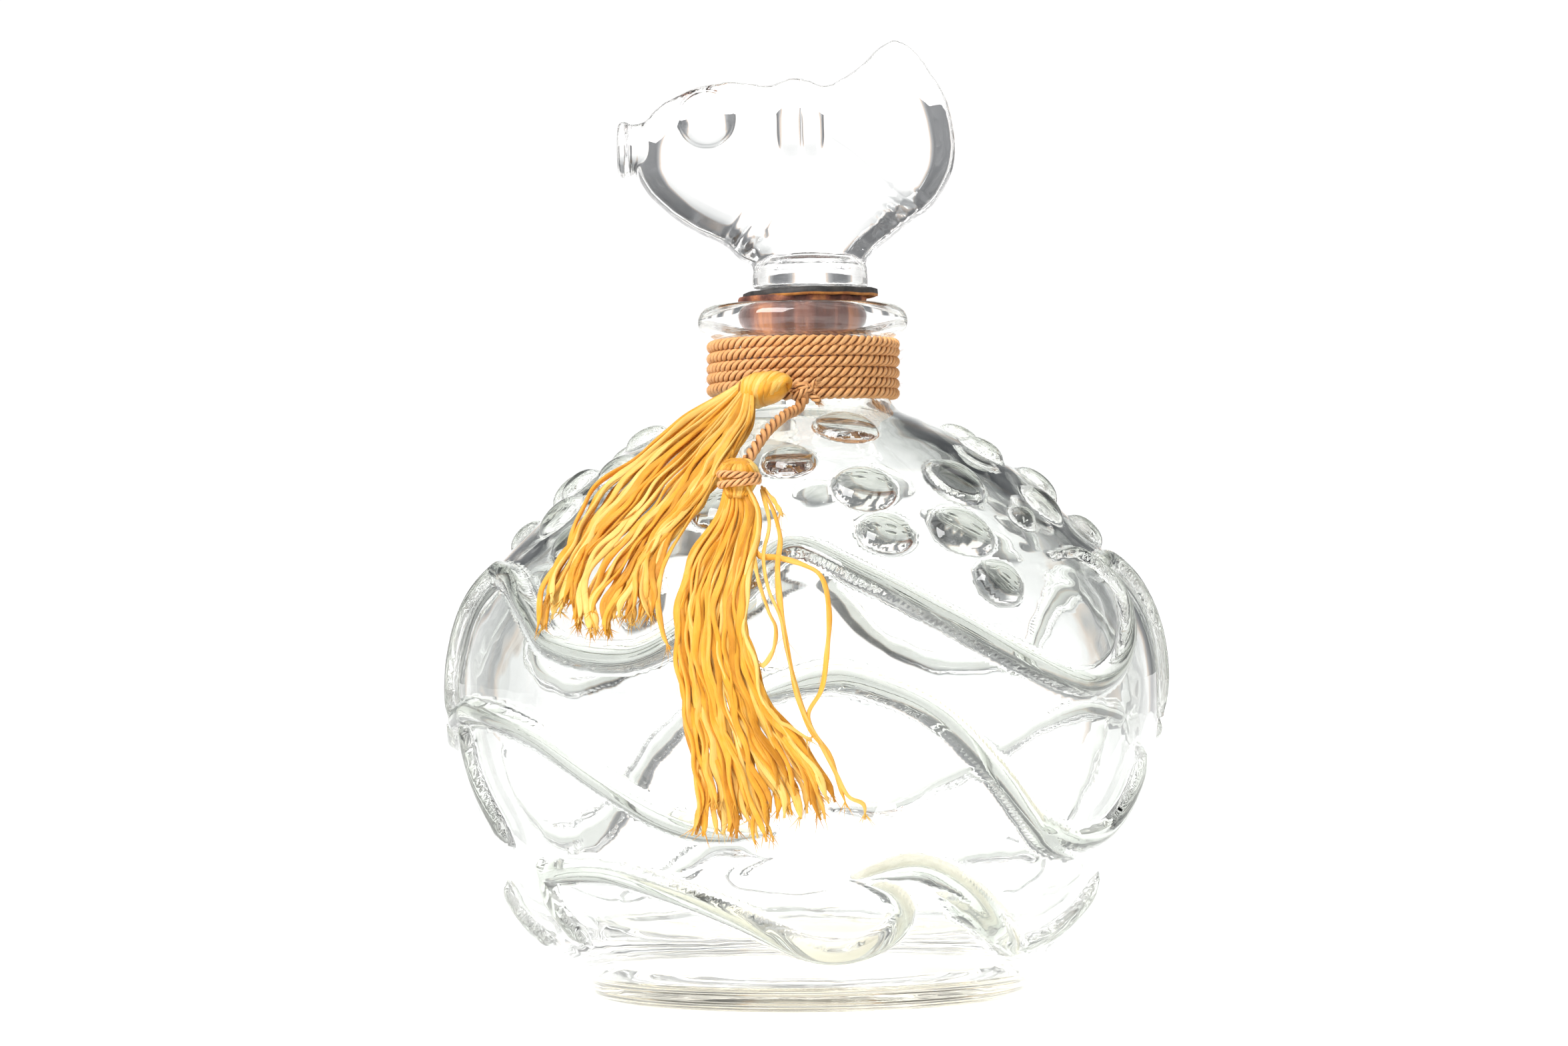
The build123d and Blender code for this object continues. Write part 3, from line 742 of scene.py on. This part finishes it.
def neck_winding(material):
    """Just over five turns of twisted cord round the neck."""
    rng = random.Random(11)
    threads = Threads()
    turns = 5.35
    share = np.linspace(0, 1, 1500)
    azimuth = math.radians(-22) + share * turns * 2 * math.pi
    slope = share * turns * 2.0
    z = 112.3 + np.clip(slope + 0.12 * np.sin(azimuth * 1.3), 0, 10.0)
    radius = WINDING_CENTRE_RADIUS + 0.05 * np.sin(azimuth * 3.1)
    line = np.stack([radius * np.sin(azimuth), -radius * np.cos(azimuth), z], axis=1)
    outward = np.stack([np.sin(azimuth), -np.cos(azimuth), 0 * azimuth], axis=1)
    threads.cord(line, radius=1.12, lead=5.0, outward=outward, sides=7, rng=rng)
    for _ in range(260):
        index = rng.randrange(len(line))
        start = line[index] + outward[index] * 0.8
        aim = outward[index] * 0.35 + np.array([rng.uniform(-1, 1), rng.uniform(-1, 1), rng.uniform(-1, 1)])
        threads.fibre(start, aim, rng.uniform(0.8, 2.0), rng, shade=rng.uniform(0.5, 0.9))
    threads.piece("neck_winding", material, "bottle", "tan_cord", ["neck_cord"])


def loop_line(centre, radii, tilt, start, turns, count=60, climb=0.0):
    """Loop of cord about a centre, tilted about the direction that faces the viewer."""
    angle = np.linspace(start, start + turns * 2 * math.pi, count)
    x, y, z = radii[0] * np.cos(angle), radii[1] * np.sin(angle), climb * (angle - start) / (2 * math.pi)
    c, s = math.cos(math.radians(tilt)), math.sin(math.radians(tilt))
    return np.stack([c * x - s * z, y, s * x + c * z], axis=1) + centre


def neck_tie(material):
    """Knot in the cord's ends at the front of the neck, with frayed tips."""
    rng = random.Random(23)
    threads = Threads()
    core = [NECK_KNOT + (0, 0.4, -1.6), NECK_KNOT + (0, -0.3, 0), NECK_KNOT + (0.1, 0.4, 1.8)]
    threads.tube(even_line(smooth_line(core, 8), 0.3), 1.15, shade=0.35)
    lower_loop = loop_line(NECK_KNOT, (1.35, 1.3), tilt=35, start=2.4, turns=1.15, climb=0.7)
    threads.cord(lower_loop, radius=0.75, lead=3.4, shade=0.45, rng=rng)
    upper_loop = loop_line(NECK_KNOT + (0.2, 0, 0.9), (1.3, 1.2), tilt=-25, start=3.3, turns=0.9, climb=0.4)
    threads.cord(upper_loop, radius=0.7, lead=3.4, rng=rng)
    threads.piece("neck_tie", material, "bottle", "tan_cord", ["neck_knot"])
    for end, root, tip in (("upper", (1.3, -20.9, 113.4), (3.1, -21.8, 115.2)),
                           ("lower", (1.4, -21.0, 112.0), (3.6, -21.5, 109.9))):
        tail = Threads()
        root, tip = np.array(root), np.array(tip)
        middle = root + 0.62 * (tip - root)
        tail.cord(even_line(np.array([root, middle]), 0.25), radius=0.7, lead=3.2, rng=rng)
        for _ in range(42):
            spread = scatter(rng, 0.42, 0.25, 0.42)
            tail.fibre(middle - (tip - root) * 0.15, (tip - root) * 0.5 + spread * 1.1,
                       rng.uniform(0.9, 2.0), rng, radius=0.06, shade=rng.uniform(0.3, 0.9), sag=0.12)
        tail.piece("cord_end_" + end, material, "bottle", "tan_cord", ["cord_tail_" + end])


def hanging_cord(material):
    """Twisted cord from the neck knot to the lower tassel."""
    rng = random.Random(31)
    threads = Threads()
    line = even_line(smooth_line(CORD_ROUTE, 16), 0.3)
    threads.cord(line, radius=1.06, lead=7.2, sides=9, rng=rng)
    for _ in range(60):
        index = rng.randrange(len(line))
        aim = np.array([rng.uniform(-1, 1), rng.uniform(-1, 0.2), rng.uniform(-1, 1)])
        threads.fibre(line[index] + 0.7 * aim, aim, rng.uniform(0.5, 1.6), rng, shade=rng.uniform(0.5, 0.9))
    threads.piece("hanging_cord_twist", material, "cord_swing", "tan_cord", ["hanging_cord"])


# ------------ tassels
# Guide lines across each skirt from its left edge to its right edge, as (azimuth, z).
GUIDES_A = [
    [(-41, 108.5), (-45, 105.5), (-44.5, 102), (-46, 98), (-51, 93.2), (-49.3, 88.1), (-45.4, 80.8),
     (-46.4, 74.7), (-45.1, 68.6)],
    [(-34, 107), (-36, 104), (-37.5, 99.9), (-40, 93.6), (-42, 88.1), (-42, 83.1), (-41.6, 77.7),
     (-40.8, 71)],
    [(-29, 106.6), (-28.9, 103.6), (-30.6, 98.4), (-33.6, 93), (-36, 86.8), (-39.1, 81.9), (-39.4, 77.1),
     (-36.3, 69.3)],
    [(-25.5, 106.4), (-24.2, 102.9), (-25.8, 96.5), (-28.2, 90.4), (-30.5, 83.7), (-32, 77.7),
     (-33.7, 72.3), (-32.2, 66.9)],
    [(-22.4, 106.2), (-20.8, 103.5), (-22, 95.9), (-23.9, 89.1), (-26.5, 83.1), (-28.4, 77.1), (-30, 72.3),
     (-30.2, 68.1)],
    [(-20.2, 106), (-18.5, 103.7), (-19.6, 97.1), (-21.6, 90.9), (-24.3, 85.4), (-26.9, 80.6),
     (-26.4, 75.9), (-25.3, 71.1)],
    [(-18.9, 106), (-17, 103.2), (-18.5, 97.7), (-20.4, 92.9), (-22.6, 87.9), (-24.7, 83.1), (-24.4, 77.1),
     (-23.9, 70.1)],
]
GUIDES_B = [
    [(-15.8, 91.4), (-16.2, 87.3), (-19.2, 81.9), (-19.4, 77.1), (-19.4, 71.1), (-19.2, 65.2),
     (-18.1, 56.3), (-17.3, 47.5), (-16.8, 39.6), (-17.9, 33.4)],
    [(-15.1, 91.4), (-14.8, 86.6), (-16.7, 80.6), (-17.8, 75.9), (-17.8, 70), (-17.4, 64.1), (-16.1, 55.7),
     (-14.7, 47.5), (-13.4, 41), (-13.3, 34.4)],
    [(-14.4, 91.4), (-13.5, 86.6), (-14.6, 80.6), (-15.6, 75.3), (-15.7, 69.4), (-15.1, 63.5),
     (-13.6, 55.2), (-11.7, 46.9), (-9.9, 39.1), (-8.9, 32.2)],
    [(-13.1, 91.4), (-12.1, 86.6), (-12.7, 80.6), (-13.5, 75.3), (-13.7, 69.4), (-12.8, 63.5),
     (-11.1, 55.2), (-8.8, 47), (-6.4, 39.2), (-5.4, 33)],
    [(-11.8, 91.4), (-10.3, 86.6), (-10.8, 80.6), (-11.7, 74.6), (-11.6, 68.7), (-10.6, 62.8), (-8.7, 55.2),
     (-6.3, 48.1), (-3.4, 41.6), (-2.7, 37.4)],
    [(-11.1, 91.4), (-9.2, 86.6), (-9.3, 80.6), (-9.9, 74.6), (-10, 68.7), (-8.7, 62.8), (-6.7, 56.4),
     (-3.9, 50.5), (-0.5, 43.4), (1.5, 36.3)],
    [(-10.7, 91.4), (-8.6, 87.3), (-8.3, 80.6), (-9.4, 74.6), (-9.2, 68.7), (-7.4, 62.8), (-5.5, 55.8),
     (-1.9, 50.5), (1, 45.1), (3, 39.2)],
]
# Loose threads beside the skirts, as (azimuth, z).
STRAYS_A = {
    "tassel_a_stray_1": [(-20, 104), (-19, 98), (-20, 92), (-22, 86), (-23.4, 80), (-23.2, 74), (-21.6, 68),
                         (-20.2, 65.4)],
}
STRAYS_B = {
    "tassel_b_stray_1": [(-8.9, 92.1), (-6.2, 87.9), (-4.5, 83), (-4.6, 78.2), (-4, 72.3), (-2.9, 65.3),
                         (-1.4, 57.5), (0.5, 51.6), (3, 47.5), (4.2, 42.8), (5.4, 38.3)],
    "tassel_b_stray_2": [(-8.8, 84.6), (-8, 80.2), (-4.6, 79.6), (-0.5, 78.4), (2.3, 76.5), (3.2, 71.2),
                         (2.7, 64.1), (1.9, 58.8), (0, 54.6), (1, 50.4)],
}
MORE_STRAYS_B = [
    [(-8.8, 91.5), (-6.6, 85.4), (-7, 80), (-5.8, 74.6), (-3.9, 70), (-2.5, 62.3), (-0.5, 54.6),
     (1.5, 49.9), (3.5, 45.1), (5.5, 40.4), (7.7, 38.9), (7.9, 36.2)],
    [(-8.2, 91.5), (-6, 89.1), (-4.2, 86.3)],
    [(-9.2, 82), (-7.6, 76.5), (-5.6, 71), (-4.6, 68.6), (-4.9, 65.3), (-6.3, 62.8), (-7.4, 63.2)],
    [(-7, 58), (-4.2, 53.6), (-2.8, 52.6), (-0.9, 51), (0.5, 49.9)],
]


def hung(azimuth, z, height):
    """Points draped off the glass that fall straight once past the belly."""
    places = off_skin(azimuth, np.maximum(z, BELLY_Z), height)
    places[:, 2] += np.minimum(z - BELLY_Z, 0)
    return places


def floss(threads, line, rng, width=0.62, fuzz=3, shade=None):
    """One flat silk strand that twists and swells a little, with stray fibres and a split tip."""
    count = len(line)
    share = np.linspace(0, 1, count)
    phase = rng.uniform(0, 6.28)
    turn = rng.uniform(-0.5, 0.5) + rng.uniform(0.5, 1.3) * np.sin(share * rng.uniform(4, 8) + phase)
    swell = 1 + 0.16 * np.sin(share * rng.uniform(14, 24) + phase) + 0.10 * np.sin(share * 47 + 2 * phase)
    taper = np.clip((1 - share) / 0.05, 0.35, 1)
    depth = width * rng.uniform(0.42, 0.62)
    shade = rng.uniform(0.12, 0.88) if shade is None else shade
    threads.tube(line, width * swell * taper, depth * (2 - swell) * taper, sides=9, shade=shade, turn=turn)
    heading = line[-1] - line[-3]
    for _ in range(4):
        spread = scatter(rng, 0.5, 0.3, 0.3) * np.linalg.norm(heading)
        threads.fibre(line[-3], heading + spread, rng.uniform(1.5, 3.4), rng,
                      radius=0.13, shade=shade, sag=0.15)
    for _ in range(fuzz):
        index = rng.randrange(4, count - 2)
        spread = scatter(rng, 0.9, 0.5, 0.5)
        aim = (line[index + 1] - line[index]) * 2 + spread
        threads.fibre(line[index], aim, rng.uniform(2, 6), rng, shade=min(shade + 0.2, 1))


def skirt_line(guides, across, reach):
    """Flat line between the guides at a share across them, cut at a share of its length."""
    samples = [even_line(smooth_line(guide, 10), 0.5) for guide in guides]
    share = np.linspace(0, reach, 64)
    samples = [np.stack([np.interp(share, np.linspace(0, 1, len(line)), line[:, i]) for i in (0, 1)], axis=1)
               for line in samples]
    place = np.clip(across, 0, 1) * (len(guides) - 1)
    low = min(int(place), len(guides) - 2)
    part = place - low
    line = samples[low] * (1 - part) + samples[low + 1] * part
    beyond = np.clip(share - 1, 0, 1)[:, None]
    return line + beyond * (line[-1] - line[-8]) * 3


def skirt(threads, guides, count, rng, top, gather, height):
    """Strands spread over a fan from their binding; the front ones lie over the back ones."""
    for index in range(count):
        across = (index % (count // 2) + rng.uniform(0.1, 0.9)) / (count // 2)
        layer = index * 2 // count + rng.uniform(-0.25, 0.55)
        reach = rng.uniform(0.90, 1.03)
        line = skirt_line(guides, across, reach)
        share = np.linspace(0, 1, len(line))
        phase = rng.uniform(0, 6.28)
        wander = rng.uniform(0.5, 1.1) * share * np.sin(share * rng.uniform(5, 10) + phase)
        crimp = 0.28 * np.sin(share * rng.uniform(26, 40) + 2 * phase) * np.clip(share * 4, 0, 1)
        lift = height + 1.05 * layer * np.clip(1.15 - 0.35 * share, 0, 1) + 0.25 * np.sin(share * 17 + phase)
        line = hung(line[:, 0] + wander + crimp, line[:, 1], lift)
        root = top + gather * (across - 0.5) + np.array([0, -0.55 * layer, 0.5 * layer])
        pull = np.clip(share / 0.11, 0, 1)[:, None]
        pull = pull * pull * (3 - 2 * pull)
        line = root * (1 - pull) + line * pull + (line[6] - root) * 0.15 * np.sin(pull * math.pi)
        floss(threads, line, rng, rng.uniform(0.52, 0.72))


def loops_round(threads, centres, radii, normals, rng, width, shade):
    """Flat strands wound as loops round a body, each with its own centre, radius and plane."""
    for centre, radius, normal in zip(centres, radii, normals):
        normal = normal / np.linalg.norm(normal)
        first = np.cross(normal, (0, 0, 1.0))
        first /= np.linalg.norm(first)
        second = np.cross(normal, first)
        angle = np.linspace(0, 2 * math.pi, 33)[:, None]
        spoke = np.cos(angle) * first + np.sin(angle) * second
        line = centre + radius * (1 + 0.04 * np.sin(3 * angle + rng.uniform(0, 6))) * spoke
        tone = shade if shade is not None else rng.uniform(0.25, 0.85)
        threads.tube(line, width * rng.uniform(0.8, 1.2), width * 0.62, shade=tone,
                     turn=rng.uniform(-0.3, 0.3) + 1.5708, outward=normal * np.ones_like(line))


def tassel_a(silk):
    """Upper tassel: a turban of wound silk, its dark binding and its skirt."""
    rng = random.Random(41)
    head = Threads()
    axis = HEAD_A_END - HEAD_A_START
    unit = axis / np.linalg.norm(axis)
    share = np.linspace(-0.48, 1.34, 17)
    centres = [HEAD_A_START + axis * s for s in share]
    bulge = np.sqrt(np.clip(1 - ((share - 0.43) / 1.12) ** 2, 0.05, 1))
    normals = [unit + np.array([0, 0, 1]) * (0.75 - 0.55 * s) + np.array([0, 0.15, 0]) for s in share]
    along = np.linspace(-0.62, 1.46, 24)
    core_radius = 2.95 * np.sqrt(np.clip(1 - ((along - 0.42) / 1.1) ** 2, 0.04, 1))
    head.tube(HEAD_A_START + axis * along[:, None], core_radius, sides=20, shade=0.45)
    loops_round(head, centres, 3.0 * bulge, normals, rng, width=0.85, shade=None)
    binding = [HEAD_A_END + unit * s for s in (1.35, 1.7)]
    loops_round(head, binding, [2.35, 2.3], [unit + (0, 0, 0.25)] * 2, rng, width=0.32, shade=-0.35)
    for _ in range(40):
        place = HEAD_A_START + axis * rng.uniform(-0.2, 1.2)
        aim = np.array([rng.gauss(0, 1), rng.uniform(-1.2, -0.2), rng.gauss(0, 1)])
        head.fibre(place + 2.8 * aim / np.linalg.norm(aim), aim + (rng.gauss(0, 1), 0, rng.gauss(0, 1)),
                   rng.uniform(0.8, 2.2), rng, radius=0.03, shade=0.8)
    head.piece("tassel_a_turban", silk, "tassel_a", "tassel_silk", ["tassel_a_head"])
    strands = Threads()
    top = HEAD_A_END + unit * 0.9
    skirt(strands, GUIDES_A, 56, rng, top, gather=np.array((1.6, -2.6, -1.6)), height=2.5)
    strands.piece("tassel_a_strands", silk, "tassel_a", "tassel_silk", ["tassel_a_skirt"])
    strays(STRAYS_A, silk, "tassel_a", rng)


def stray_line(points, height):
    """A loose thread's line off the glass."""
    line = even_line(smooth_line(points, 12), 0.55)
    return hung(line[:, 0], line[:, 1], height)


def strays(lines, silk, body, rng):
    """Loose threads, one piece each."""
    for name, points in lines.items():
        threads = Threads()
        floss(threads, stray_line(points, 3.4), rng, width=0.5, fuzz=8, shade=0.55)
        threads.piece(name + "_silk", silk, body, "tassel_silk", [name])


def tassel_b(silk, tan):
    """Lower tassel: silk folded over the cord, tied with tan cord, its skirt and loose threads."""
    rng = random.Random(59)
    knot = Threads()
    crown = KNOT_B + (0.6, 2.0, 2.4)
    chin = KNOT_B + (-0.2, -2.2, -3.6)
    for index in range(26):
        angle = 2 * math.pi * index / 26 + rng.uniform(-0.1, 0.1)
        side = np.array([math.cos(angle), 0.75 * math.sin(angle), 0.25 * math.sin(angle)])
        line = smooth_line([crown, KNOT_B + side * 2.6 + (0, 0, 1.9), KNOT_B + side * rng.uniform(3.0, 3.5),
                            KNOT_B + side * 2.5 + (0, -0.8, -2.2), chin + side * 1.6], 9)
        knot.tube(line, width=0.62, depth=0.36, shade=rng.uniform(0.2, 0.85),
                  turn=rng.uniform(-0.4, 0.4), outward=line - KNOT_B + 1e-3)
    ball = KNOT_B + (chin - crown) / 5.9 * np.linspace(-2.6, 2.8, 16)[:, None]
    knot.tube(ball, 2.9 * np.sqrt(np.clip(1 - np.linspace(-1, 1, 16) ** 2, 0.03, 1)), sides=16, shade=0.3)
    knot.piece("tassel_b_bundle", silk, "tassel_b", "tassel_silk", ["tassel_b_knot"])
    ties = Threads()
    for centre, tilt, start in (((0.1, -0.5, -0.4), -6, 0.6), ((0.2, -0.8, -1.6), 4, 2.2)):
        line = loop_line(KNOT_B + centre, (3.35, 2.75), tilt, start, turns=1.12, count=80, climb=0.5)
        ties.cord(line, radius=0.72, lead=3.6, outward=line - KNOT_B + 1e-3, shade=0.6, rng=rng)
    for _ in range(36):
        aim = np.array([rng.gauss(0, 1), rng.uniform(-1, 0.1), rng.gauss(0, 0.7)])
        ties.fibre(KNOT_B + 3.2 * aim / np.linalg.norm(aim), aim, rng.uniform(0.8, 2.2), rng,
                   radius=0.03, shade=0.8)
    ties.piece("tassel_b_ties", tan, "tassel_b", "tan_cord", ["tassel_b_knot"])
    strands = Threads()
    skirt(strands, GUIDES_B, 60, rng, chin + (0, 0.6, 0.8), gather=np.array((3.6, 0.0, 0.0)), height=2.6)
    for points in MORE_STRAYS_B:
        floss(strands, stray_line(points, rng.uniform(3.2, 4.4)), rng, width=0.42, fuzz=6, shade=0.7)
    strands.piece("tassel_b_strands", silk, "tassel_b", "tassel_silk", ["tassel_b_skirt"])
    strays(STRAYS_B, silk, "tassel_b", rng)


# ------------ camera, light and floor
def camera():
    """Camera above the belly, tilted up a touch and rolled a touch."""
    data = bpy.data.cameras.new("camera")
    data.sensor_width = 36.0
    data.lens = CAMERA_LENS
    data.clip_start = 0.05
    tilt = Matrix.Rotation(math.radians(90 + CAMERA_TILT), 4, "X")
    roll = Matrix.Rotation(math.radians(CAMERA_ROLL), 4, "Z")
    cam = placed("camera", data)
    cam.matrix_world = Matrix.Translation(CAMERA_PLACE) @ tilt @ roll
    bpy.context.scene.camera = cam


def world():
    """White studio with dark flags round it, which draw the glass's edges."""
    studio = bpy.data.worlds.new("studio")
    bpy.context.scene.world = studio
    net = Wiring(studio, "ShaderNodeOutputWorld")
    aim = net.node("ShaderNodeSeparateXYZ", {"Vector": net.place("Generated")})
    turn = net.worked_out("ARCTAN2", aim.outputs["Y"], aim.outputs["X"])
    wave = net.worked_out("COSINE", net.worked_out("MULTIPLY", turn, FLAGS_PER_TURN))
    flags = net.ramp(net.worked_out("MULTIPLY_ADD", wave, -0.5, 0.5), [
        (0.0, (1, 1, 1)), (0.40, (1, 1, 1)), (0.50, (0.78, 0.66, 0.57)), (0.62, (0.42, 0.42, 0.43)),
        (0.85, (0.20, 0.205, 0.215))])
    level = net.ramp(aim.outputs["Z"], [
        (0.0, (1, 1, 1)), (0.16, (1, 1, 1)), (0.30, (0.68, 0.69, 0.69)), (0.48, (0.26, 0.27, 0.28)),
        (0.72, (0.34, 0.35, 0.36)), (0.80, (1.3, 1.3, 1.3))])
    lit = net.node("ShaderNodeBackground", {
        "Color": net.multiplied(flags, level), "Strength": STUDIO_STRENGTH})
    seen = net.node("ShaderNodeBackground", {"Color": (1, 1, 1, 1), "Strength": BACKDROP_STRENGTH})
    net.surface(net.mixed(net.node("ShaderNodeLightPath").outputs["Is Camera Ray"], lit, seen))


def floor():
    """Plain white floor, just under the foot."""
    material, net = new_material("floor_white")
    net.surface(net.node("ShaderNodeBsdfPrincipled", {
        "Base Color": (0.95, 0.95, 0.95, 1), "Roughness": 0.9, "Specular IOR Level": 0.0,
        "Emission Color": (1, 1, 1, 1), "Emission Strength": 0.6}))
    mesh = bpy.data.meshes.new("floor")
    corners = [(-6, -6, 0), (6, -6, 0), (6, 6, 0), (-6, 6, 0)]
    mesh.from_pydata(corners, [], [(0, 1, 2, 3)])
    mesh.materials.append(material)
    plane = placed("floor", mesh)
    plane.location.z = -0.0002


def softbox(name, place, size, power):
    """Square soft lamp aimed at the middle of the flacon."""
    data = bpy.data.lights.new(name, "AREA")
    data.size = size
    data.energy = power
    lamp = placed(name, data)
    lamp.location = place
    lamp.rotation_mode = "QUATERNION"
    lamp.rotation_quaternion = (Vector((0, 0, 0.08)) - Vector(place)).to_track_quat("-Z", "Y")


def look():
    """Plain view transform, and enough bounces for light to pass both walls of the glass."""
    scene = bpy.context.scene
    scene.view_settings.view_transform = "Standard"
    scene.cycles.max_bounces = 32
    scene.cycles.transmission_bounces = 28
    scene.cycles.transparent_max_bounces = 24
    scene.cycles.glossy_bounces = 28


camera()
world()
floor()
softbox("key", (-0.5, -0.6, 0.9), size=0.6, power=15.0)
look()
# Painted edge shade on both glasses: the ramp stops darken them towards grey where the surface is seen edge
# on.
bottle_glass = glass_material("bottle_glass", tint_and_shade=None, ripple=0.16, ripple_scale=60.0, painted_edge_shade=[
    (0.30, (1, 1, 1)), (0.62, (0.82, 0.835, 0.815)), (0.95, (0.42, 0.44, 0.42))])
stopper_glass = glass_material("stopper_glass", (0.972, 0.975, 0.968), ripple=0.16, ripple_scale=90.0, painted_edge_shade=[
    (0.14, (1, 1, 1)), (0.42, (0.66, 0.655, 0.645)), (0.92, (0.28, 0.28, 0.27))])
glass_bottle(bottle_glass)
fish_stopper(stopper_glass)
cork(cork_material())
washer(rubber_material("seal_black", (0.006, 0.006, 0.006), (0.05, 0.04, 0.035), roughness=0.6),
       rubber_material("seal_brown", (0.30, 0.10, 0.02), (0.62, 0.26, 0.05), roughness=0.7))
tan_cord = thread_material(
    "tan_cord", (0.26, 0.09, 0.025), (0.78, 0.38, 0.14), (0.95, 0.62, 0.32),
    glow=0.10, streaks=2.4, sheen=0.25)
silk = thread_material(
    "tassel_silk", (0.46, 0.15, 0.008), (0.95, 0.46, 0.04), (1.0, 0.80, 0.28),
    glow=0.24, streaks=3.2, sheen=0.35)
neck_winding(tan_cord)
neck_tie(tan_cord)
hanging_cord(tan_cord)
tassel_a(silk)
tassel_b(silk, tan_cord)
